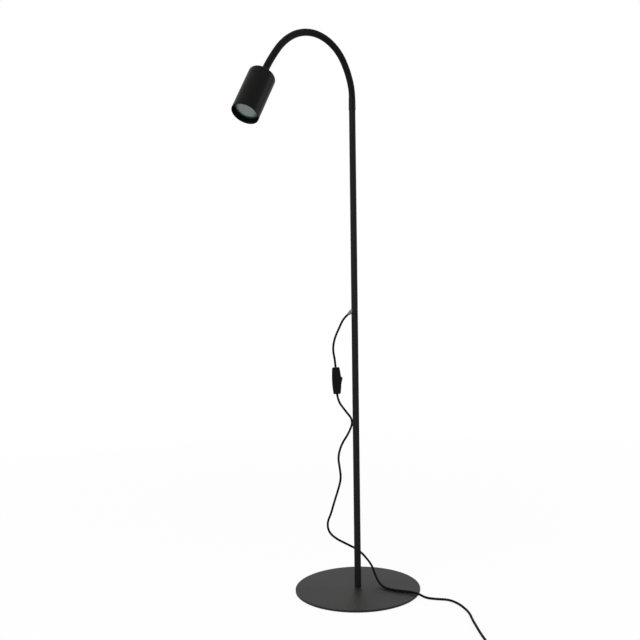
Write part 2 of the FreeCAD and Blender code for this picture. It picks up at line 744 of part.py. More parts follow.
# ---------------------------------------------------------------- hand switch
# Local axes: +X is the face that the rocker is in, Z runs along the lead, Y is across.
def switch_placement():
    lean = FreeCAD.Rotation(Y_AXIS, -SWITCH_LEAN)
    azimuth = FreeCAD.Rotation(Z_AXIS, EXIT_AZIMUTH - 180)
    return FreeCAD.Placement(lead_side(SWITCH_OUT, 0, SWITCH_HEIGHT), azimuth.multiply(lean))


def switch_block(inset):
    """The whole switch's outer form, bellied in the middle, less an inset all round."""
    half = SWITCH_LENGTH / 2 - inset
    front = SWITCH_END_FRONT - inset
    back = SWITCH_END_BACK - inset
    belly = SWITCH_FRONT - inset
    rear = SWITCH_BACK - inset
    across = SWITCH_WIDTH / 2 - inset
    outline = Part.Wire([
        Part.makeLine(V(-back, -across, -half), V(front, -across, -half)),
        Part.Arc(V(front, -across, -half), V(belly, -across, 0), V(front, -across, half)).toShape(),
        Part.makeLine(V(front, -across, half), V(-back, -across, half)),
        Part.Arc(V(-back, -across, half), V(-rear, -across, 0), V(-back, -across, -half)).toShape(),
    ])
    return Part.Face(outline).extrude(V(0, 2 * across, 0))


def switch_screw_spots():
    """Across and along, for two screws in opposite corners, each boss just clear of the side wall."""
    across = SWITCH_WIDTH / 2 - SWITCH_WALL - BOSS_DIAMETER / 2 - BOSS_CLEARANCE
    along = SWITCH_LENGTH / 2 - SWITCH_WALL - BOSS_FROM_END
    return ((across, along), (-across, -along))


def make_switch():
    at = switch_placement()
    half = SWITCH_LENGTH / 2
    block = switch_block(0)
    block = block.makeFillet(SWITCH_CORNER, block.Edges)
    shell = block.cut(switch_block(SWITCH_WALL))
    shell = shell.cut(cylinder(LEAD_RADIUS + LEAD_PLAY, SWITCH_LENGTH * 2, V(0, 0, -SWITCH_LENGTH)))
    front = shell.common(box((0, -SWITCH_WIDTH, -half), (SWITCH_REACH, SWITCH_WIDTH, half)))
    back = shell.common(box((-SWITCH_REACH, -SWITCH_WIDTH, -half), (-FIT_GAP, SWITCH_WIDTH, half)))
    for across, along in switch_screw_spots():
        front_boss = cylinder(BOSS_DIAMETER / 2, SWITCH_FRONT, V(0, across, along), V(1, 0, 0))
        back_boss = cylinder(BOSS_DIAMETER / 2, SWITCH_BACK, V(-FIT_GAP, across, along), V(-1, 0, 0))
        front = front.fuse(front_boss.common(switch_block(SWITCH_WALL / 2)))
        back = back.fuse(back_boss.common(switch_block(SWITCH_WALL / 2)))
        thread = cylinder(SWITCH_SCREW_DIAMETER / 2 + FIT_GAP, 6.5, V(-FIT_GAP, across, along), V(1, 0, 0))
        through = cylinder(SWITCH_SCREW_DIAMETER / 2 + FIT_GAP, SWITCH_REACH, V(0, across, along), V(-1, 0, 0))
        seat = V(-SWITCH_BACK + SWITCH_SCREW_SINK, across, along)
        recess = cylinder(SWITCH_SCREW_HEAD / 2 + FIT_GAP, SWITCH_REACH, seat, V(-1, 0, 0))
        front = front.cut(thread)
        back = back.cut(through).cut(recess)

    window = box(
        (PIVOT_DEPTH, -ROCKER_WIDTH / 2 - ROCKER_SIDE_GAP, -ROCKER_LENGTH / 2 - ROCKER_GAP),
        (SWITCH_REACH, ROCKER_WIDTH / 2 + ROCKER_SIDE_GAP, ROCKER_LENGTH / 2 + ROCKER_GAP),
    )
    front = front.cut(window)
    for side in (-1, 1):
        near = side * (ROCKER_WIDTH / 2 + ROCKER_SIDE_GAP)
        far = side * (ROCKER_WIDTH / 2 + ROCKER_SIDE_GAP + CHEEK_THICKNESS)
        low_y, high_y = min(near, far), max(near, far)
        cheek = box((PIVOT_DEPTH - 2.6, low_y, -3.4), (SWITCH_FRONT - SWITCH_WALL / 2, high_y, 3.4))
        front = front.fuse(cheek)
    pivot_length = ROCKER_WIDTH + 2 * ROCKER_SIDE_GAP + 2 * CHEEK_THICKNESS
    pivot_start = V(PIVOT_DEPTH, -pivot_length / 2, 0)
    front = front.cut(cylinder(PIVOT_DIAMETER / 2 + FIT_GAP, pivot_length, pivot_start, Y_AXIS))
    export("switch_front", placed(front.removeSplitter(), at))
    export("switch_back", placed(back.removeSplitter(), at))
    export("switch_pivot", placed(cylinder(PIVOT_DIAMETER / 2, pivot_length, pivot_start, Y_AXIS), at))
    export("switch_rocker", placed(rocker_body(), at))
    export("switch_screws", placed(Part.makeCompound(switch_screws()), at))
    export("switch_contacts", placed(Part.makeCompound(switch_contacts()), at))


def rocker_body():
    """A key on a cross pivot, pressed at its lower end, so that its upper end stands out."""
    half = ROCKER_LENGTH / 2
    tip = ROCKER_FACE_LENGTH / 2
    face = PIVOT_DEPTH + ROCKER_STAND
    waist = PIVOT_DEPTH + ROCKER_WAIST
    across = ROCKER_WIDTH / 2
    root = PIVOT_DEPTH - 2.2
    outline = Part.Wire([
        Part.Arc(V(face, -across, -tip), V(face - ROCKER_DISH, -across, 0), V(face, -across, tip)).toShape(),
        Part.makeLine(V(face, -across, tip), V(waist, -across, half)),
        Part.makeLine(V(waist, -across, half), V(PIVOT_DEPTH + 1.6, -across, half - 0.4)),
        Part.makeLine(V(PIVOT_DEPTH + 1.6, -across, half - 0.4), V(root, -across, 2.4)),
        Part.makeLine(V(root, -across, 2.4), V(root, -across, -2.4)),
        Part.makeLine(V(root, -across, -2.4), V(PIVOT_DEPTH + 1.6, -across, -half + 0.4)),
        Part.makeLine(V(PIVOT_DEPTH + 1.6, -across, -half + 0.4), V(waist, -across, -half)),
        Part.makeLine(V(waist, -across, -half), V(face, -across, -tip)),
    ])
    key = Part.Face(outline).extrude(V(0, 2 * across, 0))
    bore = cylinder(PIVOT_DIAMETER / 2 + PIVOT_PLAY, 2 * across, V(PIVOT_DEPTH, -across, 0), Y_AXIS)
    key = key.cut(bore)
    key.rotate(V(PIVOT_DEPTH, 0, 0), Y_AXIS, ROCKER_THROW / 2)
    return key


def switch_screws():
    screws = []
    for across, along in switch_screw_spots():
        seat = -SWITCH_BACK + SWITCH_SCREW_SINK
        head = cylinder(SWITCH_SCREW_HEAD / 2, 1.7, V(seat, across, along), V(-1, 0, 0))
        shank = cylinder(SWITCH_SCREW_DIAMETER / 2, 6.0 - seat, V(seat, across, along), V(1, 0, 0))
        slot = box((seat - 1.7, across - SWITCH_SCREW_HEAD, along - 0.4), (seat - 0.9, across + SWITCH_SCREW_HEAD, along + 0.4))
        screws.append(head.fuse(shank).cut(slot))
    return screws


def switch_contacts():
    """Two brass strips along the back shell's wall, each bent up beside one end of the lead."""
    floor = -SWITCH_BACK + SWITCH_WALL
    room = switch_block(SWITCH_WALL + FIT_GAP)
    strips = []
    for side in (-1, 1):
        low, high = sorted((side * CONTACT_GAP / 2, side * CONTACT_END))
        strip = box((floor - 1, -CONTACT_WIDTH / 2, low), (floor + CONTACT_THICKNESS, CONTACT_WIDTH / 2, high))
        low, high = sorted((side * (CONTACT_END - CONTACT_THICKNESS), side * CONTACT_END))
        tab = box((floor - 1, -CONTACT_WIDTH / 2, low), (floor + CONTACT_HEIGHT, CONTACT_WIDTH / 2, high))
        strips.append(strip.fuse(tab).common(room))
    return strips


# ---------------------------------------------------------------- coil and plug
def coil_centre():
    return COIL_START[0] + coil_radius(0), COIL_START[1]


def coil_radius(turn):
    """The layer's radius falls to the middle turn and grows again, a pitch for each turn."""
    inward = COIL_PITCH * COIL_TURNS / 2
    return COIL_RADIUS + inward / 2 - inward + COIL_PITCH * abs(turn - COIL_TURNS / 2)


def coil_height(turn):
    climb = min(max((turn - COIL_TURNS / 2) / 0.5 + 0.5, 0), 1)
    return LEAD_FLOOR_HEIGHT + COIL_RISE * climb * climb * (3 - 2 * climb)


def coil_point(turn):
    centre = coil_centre()
    angle = math.pi + 2 * math.pi * turn
    radius = coil_radius(turn)
    return lead_side(centre[0] + radius * math.cos(angle), centre[1] + radius * math.sin(angle), coil_height(turn))


def coil_way(turn):
    step = 0.002
    way = coil_point(turn + step) - coil_point(turn - step)
    way.normalize()
    return way


def level_way(way):
    flat = V(way.x, way.y, 0)
    flat.normalize()
    return flat


def coil_wire():
    quarters = int(round(COIL_TURNS * 4))
    knots = []
    for quarter in range(quarters + 1):
        turn = quarter / 4
        way = coil_way(turn)
        if abs(turn - COIL_TURNS / 2) > 0.3:
            way = level_way(way)
        knots.append((coil_point(turn), way))
    knots[0] = (knots[0][0], lead_side(0, -1, 0))
    last_point, last_way = knots[-1]
    landing = last_point + last_way * COIL_LEAD_OUT
    landing.z = PLUG_AXIS_HEIGHT
    knots.append((landing, last_way))
    edges = []
    for (start, start_way), (end, end_way) in zip(knots, knots[1:]):
        edges += biarc(start, start_way, end, end_way)
    tail = landing + last_way * COIL_STRAIGHT
    edges.append(Part.makeLine(landing, tail))
    lead_in = coil_entry()
    edges.insert(0, Part.makeLine(lead_in, knots[0][0]))
    return Part.Wire(edges), tail, last_way


def coil_entry():
    """The lead meets the coil one diameter before its first turn."""
    return lead_side(COIL_START[0], COIL_START[1] + LEAD_DIAMETER, LEAD_FLOOR_HEIGHT)


def least_self_gap(wire):
    """The least space between the tube's turns, measured on points along its line."""
    points = wire.discretize(Distance=2.0)
    spacing = wire.Length / (len(points) - 1)
    apart = int(math.ceil(8 * LEAD_DIAMETER / spacing))
    least = 1e9
    for index, point in enumerate(points):
        for other in points[index + apart:]:
            least = min(least, point.distanceToPoint(other))
    return least - LEAD_DIAMETER


def make_coil_and_plug():
    wire, tail, way = coil_wire()
    solid = tube_on(wire, LEAD_RADIUS)
    expected = math.pi * LEAD_RADIUS ** 2 * wire.Length
    print("cord_coil length %.1f" % wire.Length, "volume ratio %.5f" % (solid.Volume / expected),
          "least self gap %.2f" % least_self_gap(wire))
    export("cord_coil", solid)
    rotation = FreeCAD.Rotation(V(1, 0, 0), way)
    at = FreeCAD.Placement(tail, rotation)
    export("plug_body", placed(plug_body(), at))
    export("plug_pins", placed(Part.makeCompound(plug_pins()), at))
    return wire.Length


def rounded_section(x, width, thickness, corner):
    half_y = width / 2
    half_z = thickness / 2
    c = min(corner, half_z * 0.92)
    k = c * (1 - math.sqrt(0.5))
    edges = []
    for sy, sz in ((1, 1), (-1, 1), (-1, -1), (1, -1)):
        a = V(x, sy * half_y, sz * (half_z - c))
        b = V(x, sy * (half_y - k), sz * (half_z - k))
        d = V(x, sy * (half_y - c), sz * half_z)
        edges.append((a, b, d) if sy * sz > 0 else (d, b, a))
    parts = []
    for index, (a, b, d) in enumerate(edges):
        parts.append(Part.Arc(a, b, d).toShape())
        parts.append(Part.makeLine(d, edges[(index + 1) % 4][0]))
    return Part.Wire(parts)


def plug_body():
    """Local +X runs from the lead to the pins: a tapered tail, then the flat grip."""
    tail = Part.makeCone(PLUG_TAIL_TIP / 2, PLUG_TAIL_DIAMETER / 2, PLUG_TAIL_LENGTH, V(0, 0, 0), V(1, 0, 0))
    rear = PLUG_TAIL_LENGTH
    sections = [
        rounded_section(rear, PLUG_REAR_WIDTH, PLUG_REAR_THICKNESS, PLUG_CORNER),
        rounded_section(rear + PLUG_LENGTH * 0.62, PLUG_WIDTH, PLUG_THICKNESS, PLUG_CORNER),
    ]
    grip = Part.makeLoft(sections, True, True)
    nose = Part.Face(sections[1]).extrude(V(PLUG_LENGTH * 0.38, 0, 0))
    body = tail.fuse(grip).fuse(nose).removeSplitter()
    front = rear + PLUG_LENGTH
    for side in (-1, 1):
        hole = cylinder(PLUG_PIN_DIAMETER / 2, 8, V(front - 8, side * PLUG_PIN_SPACING / 2, 0), V(1, 0, 0))
        body = body.cut(hole)
    return body


def plug_pins():
    front = PLUG_TAIL_LENGTH + PLUG_LENGTH
    pins = []
    for side in (-1, 1):
        start = V(front - 8, side * PLUG_PIN_SPACING / 2, 0)
        pin = cylinder(PLUG_PIN_DIAMETER / 2, 8 + PLUG_PIN_LENGTH - 2, start, V(1, 0, 0))
        tip_centre = V(front + PLUG_PIN_LENGTH - 2, side * PLUG_PIN_SPACING / 2, 0)
        pin = pin.fuse(Part.makeSphere(PLUG_PIN_DIAMETER / 2, tip_centre)).removeSplitter()
        pins.append(pin)
    return pins


# ---------------------------------------------------------------- the lead's free stretches
def switch_axis(direction, beyond):
    """A point on the switch's long axis, that far beyond its upper (1) or lower (-1) end."""
    lean = math.radians(SWITCH_LEAN)
    along = direction * (SWITCH_LENGTH / 2 + beyond)
    return lead_side(SWITCH_OUT + along * math.sin(lean), 0, SWITCH_HEIGHT + along * math.cos(lean))


def make_free_lead():
    upper = [exit_tip(GROMMET_REACH), exit_tip(GROMMET_REACH + LEAD_STRAIGHT)]
    upper += [lead_side(*point) for point in UPPER_ROUTE]
    upper += [switch_axis(1, LEAD_STRAIGHT), switch_axis(1, -LEAD_TAIL)]
    lower = [switch_axis(-1, -LEAD_TAIL), switch_axis(-1, LEAD_STRAIGHT)]
    lower += [lead_side(*point) for point in LOWER_ROUTE]
    lower += [coil_entry()]
    return free_stretch("cord_upper", upper) + free_stretch("cord_lower", lower)


def main():
    os.makedirs("parts", exist_ok=True)
    make_base()
    make_pole()
    frames = link_starts()
    make_neck(frames)
    make_grommet()
    make_pole_lead()
    make_head(last_link_placement(frames[LINKS - 1]))
    make_switch()
    free = make_free_lead()
    coil = make_coil_and_plug()
    print("lead from the pole to the plug: %.0f mm" % (free + coil))


main()
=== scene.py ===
"""Looks of the gooseneck reading floor lamp: finishes, neck sleeve, mains lead, studio and camera."""

import json
import math

import bmesh
import bpy
from mathutils import Matrix, Vector


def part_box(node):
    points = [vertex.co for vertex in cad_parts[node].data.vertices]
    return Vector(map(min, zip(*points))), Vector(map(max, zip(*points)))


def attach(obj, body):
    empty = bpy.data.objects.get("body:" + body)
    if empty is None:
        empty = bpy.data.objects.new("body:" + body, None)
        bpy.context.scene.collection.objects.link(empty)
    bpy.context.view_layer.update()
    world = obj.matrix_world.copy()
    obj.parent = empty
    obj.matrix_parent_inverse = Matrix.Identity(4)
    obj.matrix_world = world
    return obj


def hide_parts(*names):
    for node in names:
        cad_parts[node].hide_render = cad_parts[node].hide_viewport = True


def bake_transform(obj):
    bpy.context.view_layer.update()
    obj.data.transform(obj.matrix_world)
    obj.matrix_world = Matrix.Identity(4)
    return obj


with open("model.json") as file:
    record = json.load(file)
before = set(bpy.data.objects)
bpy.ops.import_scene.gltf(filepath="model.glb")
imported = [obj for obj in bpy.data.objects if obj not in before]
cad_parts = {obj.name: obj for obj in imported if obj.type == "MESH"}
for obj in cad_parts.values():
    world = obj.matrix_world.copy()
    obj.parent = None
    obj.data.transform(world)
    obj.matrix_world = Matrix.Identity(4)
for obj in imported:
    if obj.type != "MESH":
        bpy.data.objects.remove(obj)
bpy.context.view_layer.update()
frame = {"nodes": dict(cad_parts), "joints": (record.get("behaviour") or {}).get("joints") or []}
nodes = frame["nodes"]
joints = {joint["name"]: joint for joint in frame["joints"]}
mm = 0.001

# ---- sizes of the real lamp, in metres ----
pole_radius = 7.5 * mm
neck_radius = 7.5 * mm
neck_skin_wall = 0.5 * mm
neck_start_height = 1127 * mm
neck_flex_length = 382.5 * mm
neck_turns = (13.5, 19.0, 34.5, 33.5, 26.0, 19.0, 6.5, 1.0)
neck_joints = 7
head_sway = math.radians(5)
sway_spread = 12 * mm
lead_diameter = 5 * mm
lead_exit_azimuth = math.radians(140)
lead_exit_height = 626.4 * mm
lead_exit_slope = math.radians(40)
grommet_reach = 9.5 * mm
lead_straight = 14 * mm
lead_tail = 8 * mm
switch_out = 43.8 * mm
switch_height = 468.8 * mm
switch_length = 60.5 * mm
switch_lean = math.radians(2.5)
plug_thickness = 13.7 * mm
floor_play = 0.05 * mm
coil_start = (-239 * mm, -368 * mm)
coil_turns = 4.25
coil_radius = 29 * mm
coil_pitch = 5.5 * mm
coil_rise = 5.45 * mm
coil_lead_out = 14 * mm
coil_straight = 6 * mm
coil_points_a_turn = 16

# The lead's free stretches in millimetres: out along the exit side, sideways, up.
upper_route = (
    (35.8, 1.0, 589.5),
    (46.8, 3.0, 565.5),
    (51.4, 3.0, 540.0),
)
lower_route = (
    (24.6, 3.0, 400.5),
    (5.6, 8.0, 376.5),
    (16.0, 8.0, 349.0),
    (34.0, 9.0, 322.0),
    (42.0, 9.0, 294.0),
    (38.0, 8.0, 268.0),
    (35.4, 8.5, 245.0),
    (42.1, 10.0, 220.0),
    (51.5, 12.0, 192.0),
    (59.5, 14.0, 164.0),
    (68.0, 16.0, 145.5),
    (66.0, 19.0, 123.8),
    (51.0, 23.0, 107.2),
    (24.5, 29.0, 91.8),
    (-1.5, 35.0, 77.0),
    (-18.4, 39.0, 59.5),
    (-33.4, 33.0, 41.0),
    (-39.0, 21.0, 26.0),
    (-46.0, 6.0, 14.0),
    (-55.0, -11.0, 7.9),
    (-69.0, -28.0, 7.7),
    (-88.5, -37.5, 7.7),
    (-110.0, -44.0, 7.7),
    (-129.5, -60.0, 8.8),
    (-145.2, -69.0, 2.6),
    (-167.2, -77.0, 2.55),
    (-193.2, -81.0, 2.55),
    (-209.7, -103.0, 2.55),
    (-218.9, -130.0, 2.55),
    (-224.2, -157.0, 2.55),
    (-223.9, -189.0, 2.55),
    (-225.6, -221.0, 2.55),
    (-227.3, -253.0, 2.55),
    (-230.6, -285.0, 2.55),
    (-234.4, -315.0, 2.55),
    (-239.0, -341.0, 2.55),
)

# ---- the reflector lamp's face ----
bowl_depth = 16 * mm
bowl_facets_around = 20.0
bowl_ring_wave = 1900.0
cover_pattern_shade_shift = (-1.2 * mm, 1.6 * mm)
cover_pattern_radii = (4 * mm, 22 * mm)
cover_ring_wave = 1500.0
cover_ring_wander = 0.7 * mm

# ---- studio ----
world_light = 0.72
paper_radius = 14
paper_shadow_reach = (0.6, 3.0)
paper_white_share = (0.88, 1.0)
softbox_distance = 2.4
softbox_aim_height = 0.7

# ---- the photograph's viewpoint ----
camera_azimuth = math.radians(229.45)
camera_distance = 1.533
camera_height = 0.537
camera_pitch = 0.0456
camera_roll = 0.0121
camera_lens = 37.57
camera_shift = -0.0542


# ---------------------------------------------------------------- node helpers
def new_group(name, inputs, outputs):
    group = bpy.data.node_groups.new(name, "ShaderNodeTree")
    for label, kind, value in inputs:
        socket = group.interface.new_socket(label, in_out="INPUT", socket_type=kind)
        if value is not None:
            socket.default_value = value
    for label, kind in outputs:
        group.interface.new_socket(label, in_out="OUTPUT", socket_type=kind)
    return group, group.nodes.new("NodeGroupInput"), group.nodes.new("NodeGroupOutput")


def math_node(tree, operation, first, second=None):
    node = tree.nodes.new("ShaderNodeMath")
    node.operation = operation
    for socket, value in zip(node.inputs, (first, second)):
        if value is None:
            continue
        if isinstance(value, bpy.types.NodeSocket):
            tree.links.new(value, socket)
        else:
            socket.default_value = value
    return node.outputs[0]


def noise_node(tree, place, scale, detail=2.0):
    node = tree.nodes.new("ShaderNodeTexNoise")
    node.inputs["Detail"].default_value = detail
    tree.links.new(place, node.inputs["Vector"])
    if isinstance(scale, bpy.types.NodeSocket):
        tree.links.new(scale, node.inputs["Scale"])
    else:
        node.inputs["Scale"].default_value = scale
    return node.outputs["Fac"]


def range_node(tree, value, low, high):
    """A 0 to 1 value spread between low and high, which may be sockets."""
    node = tree.nodes.new("ShaderNodeMapRange")
    tree.links.new(value, node.inputs["Value"])
    for label, edge in (("To Min", low), ("To Max", high)):
        if isinstance(edge, bpy.types.NodeSocket):
            tree.links.new(edge, node.inputs[label])
        else:
            node.inputs[label].default_value = edge
    return node.outputs["Result"]


def make_coat_grain():
    """Fine pebbles of powder coat and moulded plastic, with an uneven gloss."""
    group, inside, out = new_group(
        "coat_grain",
        (
            ("Dark", "NodeSocketColor", (0.02, 0.02, 0.02, 1)),
            ("Light", "NodeSocketColor", (0.03, 0.03, 0.03, 1)),
            ("Grain Scale", "NodeSocketFloat", 900.0),
            ("Grain Depth", "NodeSocketFloat", 0.15),
            ("Smoothest", "NodeSocketFloat", 0.4),
            ("Roughest", "NodeSocketFloat", 0.55),
        ),
        (("Color", "NodeSocketColor"), ("Roughness", "NodeSocketFloat"), ("Normal", "NodeSocketVector")),
    )
    place = group.nodes.new("ShaderNodeTexCoord").outputs["Object"]
    grain = noise_node(group, place, inside.outputs["Grain Scale"], 3.0)
    cloud = noise_node(group, place, 9.0, 4.0)
    mix = group.nodes.new("ShaderNodeMix")
    mix.data_type = "RGBA"
    shade = math_node(group, "MULTIPLY", math_node(group, "ADD", grain, cloud), 0.5)
    group.links.new(shade, mix.inputs["Factor"])
    group.links.new(inside.outputs["Dark"], mix.inputs["A"])
    group.links.new(inside.outputs["Light"], mix.inputs["B"])
    bump = group.nodes.new("ShaderNodeBump")
    bump.inputs["Distance"].default_value = 0.2 * mm
    group.links.new(inside.outputs["Grain Depth"], bump.inputs["Strength"])
    group.links.new(grain, bump.inputs["Height"])
    gloss = range_node(group, cloud, inside.outputs["Smoothest"], inside.outputs["Roughest"])
    group.links.new(mix.outputs["Result"], out.inputs["Color"])
    group.links.new(gloss, out.inputs["Roughness"])
    group.links.new(bump.outputs["Normal"], out.inputs["Normal"])
    return group


def make_brushed_lines():
    """Fine turning or drawing marks in bare metal, drawn out across the axes that Stretch squeezes."""
    group, inside, out = new_group(
        "brushed_lines",
        (("Stretch", "NodeSocketVector", (1, 1, 20)), ("Depth", "NodeSocketFloat", 0.2)),
        (("Roughness", "NodeSocketFloat"), ("Normal", "NodeSocketVector")),
    )
    place = group.nodes.new("ShaderNodeTexCoord").outputs["Object"]
    scaled = group.nodes.new("ShaderNodeVectorMath")
    scaled.operation = "MULTIPLY"
    group.links.new(place, scaled.inputs[0])
    group.links.new(inside.outputs["Stretch"], scaled.inputs[1])
    lines = noise_node(group, scaled.outputs["Vector"], 120.0, 3.0)
    bump = group.nodes.new("ShaderNodeBump")
    bump.inputs["Distance"].default_value = 0.1 * mm
    group.links.new(inside.outputs["Depth"], bump.inputs["Strength"])
    group.links.new(lines, bump.inputs["Height"])
    group.links.new(range_node(group, lines, 0.25, 0.45), out.inputs["Roughness"])
    group.links.new(bump.outputs["Normal"], out.inputs["Normal"])
    return group


def new_material(name):
    material = bpy.data.materials.new(name)
    material.use_nodes = True
    tree = material.node_tree
    return material, tree, tree.nodes["Principled BSDF"]


def grained(name, dark, light, scale, depth, smooth, rough, specular=0.5):
    """A coated, moulded or rubber surface."""
    material, tree, shader = new_material(name)
    grain = tree.nodes.new("ShaderNodeGroup")
    grain.node_tree = coat_grain
    grain.inputs["Dark"].default_value = (*dark, 1)
    grain.inputs["Light"].default_value = (*light, 1)
    grain.inputs["Grain Scale"].default_value = scale
    grain.inputs["Grain Depth"].default_value = depth
    grain.inputs["Smoothest"].default_value = smooth
    grain.inputs["Roughest"].default_value = rough
    tree.links.new(grain.outputs["Color"], shader.inputs["Base Color"])
    tree.links.new(grain.outputs["Roughness"], shader.inputs["Roughness"])
    tree.links.new(grain.outputs["Normal"], shader.inputs["Normal"])
    shader.inputs["Specular IOR Level"].default_value = specular
    return material


def bare_metal(name, colour, stretch, depth=0.2):
    material, tree, shader = new_material(name)
    lines = tree.nodes.new("ShaderNodeGroup")
    lines.node_tree = brushed_lines
    lines.inputs["Stretch"].default_value = stretch
    lines.inputs["Depth"].default_value = depth
    shader.inputs["Base Color"].default_value = (*colour, 1)
    shader.inputs["Metallic"].default_value = 1
    tree.links.new(lines.outputs["Roughness"], shader.inputs["Roughness"])
    tree.links.new(lines.outputs["Normal"], shader.inputs["Normal"])
    return material


def clear_glass(name, colour, roughness):
    material, tree, shader = new_material(name)
    shader.inputs["Base Color"].default_value = (*colour, 1)
    shader.inputs["Roughness"].default_value = roughness
    shader.inputs["Transmission Weight"].default_value = 1
    shader.inputs["IOR"].default_value = 1.45
    return material


def lamp_place(tree):
    """Coordinates along and around the lamp's axis, from the middle of its glass."""
    low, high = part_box("lamp_glass")
    before, last = math.radians(sum(neck_turns[:-1])), math.radians(neck_turns[-1])
    turned = Matrix.Rotation(-before, 3, "Y") @ Matrix.Rotation(head_sway, 3, "X")
    turned = turned @ Matrix.Rotation(-last, 3, "Y")
    away = tree.nodes.new("ShaderNodeMapping")
    away.vector_type = "TEXTURE"
    away.inputs["Location"].default_value = (Vector(low) + Vector(high)) / 2
    away.inputs["Rotation"].default_value = turned.to_euler("XYZ")
    place = tree.nodes.new("ShaderNodeTexCoord").outputs["Object"]
    tree.links.new(place, away.inputs["Vector"])
    split = tree.nodes.new("ShaderNodeSeparateXYZ")
    tree.links.new(away.outputs["Vector"], split.inputs["Vector"])
    return split.outputs


def coated_reflector():
    """The coated bowl behind the glass: faint facets, a dark rim that is painted shade, then teal, and pale
    grey deeper in.
    """
    material, tree, shader = new_material("reflector_bowl")
    x, y, along = lamp_place(tree)
    around = math_node(tree, "ARCTAN2", y, x)
    ribs = math_node(tree, "SINE", math_node(tree, "MULTIPLY", around, bowl_facets_around))
    rings = math_node(tree, "SINE", math_node(tree, "MULTIPLY", along, bowl_ring_wave))
    facets = math_node(tree, "ADD", rings, math_node(tree, "MULTIPLY", ribs, 0.4))
    bump = tree.nodes.new("ShaderNodeBump")
    bump.inputs["Strength"].default_value = 0.05
    bump.inputs["Distance"].default_value = 0.1 * mm
    tree.links.new(facets, bump.inputs["Height"])
    ramp = tree.nodes.new("ShaderNodeValToRGB")
    # Darkest next to the glass: painted shade on the bowl's front rim inside the recess.
    ramp.color_ramp.elements[0].color = (0.03, 0.05, 0.048, 1)
    ramp.color_ramp.elements.new(0.2).color = (0.30, 0.52, 0.50, 1)
    ramp.color_ramp.elements[1].color = (0.62, 0.66, 0.64, 1)
    depth = tree.nodes.new("ShaderNodeMapRange")
    depth.inputs["From Min"].default_value = 0
    depth.inputs["From Max"].default_value = -bowl_depth
    tree.links.new(along, depth.inputs["Value"])
    tree.links.new(depth.outputs["Result"], ramp.inputs["Fac"])
    tree.links.new(ramp.outputs["Color"], shader.inputs["Base Color"])
    tree.links.new(bump.outputs["Normal"], shader.inputs["Normal"])
    shader.inputs["Metallic"].default_value = 1
    shader.inputs["Roughness"].default_value = 0.42
    return material


def pressed_glass():
    """The lamp's cover: milky pressed glass with moulded rings, grey inside, teal towards its rim, then a
    dark rim that is painted shade.
    """
    material, tree, shader = new_material("cover_glass")
    # The pattern's middle sits a little off the cover's middle, so the painted shade at its rim falls wider
    # on one side.
    x, y = (
        math_node(tree, "ADD", socket, shift)
        for socket, shift in zip(lamp_place(tree), cover_pattern_shade_shift)
    )
    squares = math_node(tree, "ADD", math_node(tree, "MULTIPLY", x, x), math_node(tree, "MULTIPLY", y, y))
    radius = math_node(tree, "SQRT", squares)
    rings = math_node(tree, "SINE", math_node(tree, "MULTIPLY", radius, cover_ring_wave))
    bump = tree.nodes.new("ShaderNodeBump")
    bump.inputs["Strength"].default_value = 0.12
    bump.inputs["Distance"].default_value = 0.15 * mm
    tree.links.new(rings, bump.inputs["Height"])
    tree.links.new(bump.outputs["Normal"], shader.inputs["Normal"])
    ramp = tree.nodes.new("ShaderNodeValToRGB")
    ramp.color_ramp.elements[0].color = (0.20, 0.22, 0.215, 1)
    # The ramp's outer stops darken to near black: painted shade of the lamp's rim under the shade's lip.
    ramp.color_ramp.elements[1].color = (0.008, 0.014, 0.013, 1)
    steps = (
        (0.61, (0.19, 0.225, 0.22)),
        (0.78, (0.09, 0.20, 0.185)),
        (0.9, (0.03, 0.06, 0.055)),
    )
    for position, colour in steps:
        ramp.color_ramp.elements.new(position).color = (*colour, 1)
    outward = tree.nodes.new("ShaderNodeMapRange")
    outward.inputs["From Min"].default_value, outward.inputs["From Max"].default_value = cover_pattern_radii
    wavy = math_node(tree, "ADD", radius, math_node(tree, "MULTIPLY", rings, cover_ring_wander))
    tree.links.new(wavy, outward.inputs["Value"])
    tree.links.new(outward.outputs["Result"], ramp.inputs["Fac"])
    tree.links.new(ramp.outputs["Color"], shader.inputs["Base Color"])
    shader.inputs["Roughness"].default_value = 0.18
    shader.inputs["Transmission Weight"].default_value = 0.2
    shader.inputs["IOR"].default_value = 1.45
    return material


# ---------------------------------------------------------------- places on the lamp
def lead_side(out, sideways, up):
    """A point given from the pole's axis, out along the side that the lead leaves from."""
    c, s = math.cos(lead_exit_azimuth), math.sin(lead_exit_azimuth)
    return Vector((out * c + sideways * s, out * s - sideways * c, up))


def exit_tip(reach):
    out = pole_radius + reach * math.cos(lead_exit_slope)
    return lead_side(out, 0, lead_exit_height - reach * math.sin(lead_exit_slope))


def switch_axis(direction, beyond):
    along = direction * (switch_length / 2 + beyond)
    return lead_side(
        switch_out + along * math.sin(switch_lean), 0, switch_height + along * math.cos(switch_lean)
    )


def route(points):
    return [lead_side(*[value * mm for value in point]) for point in points]


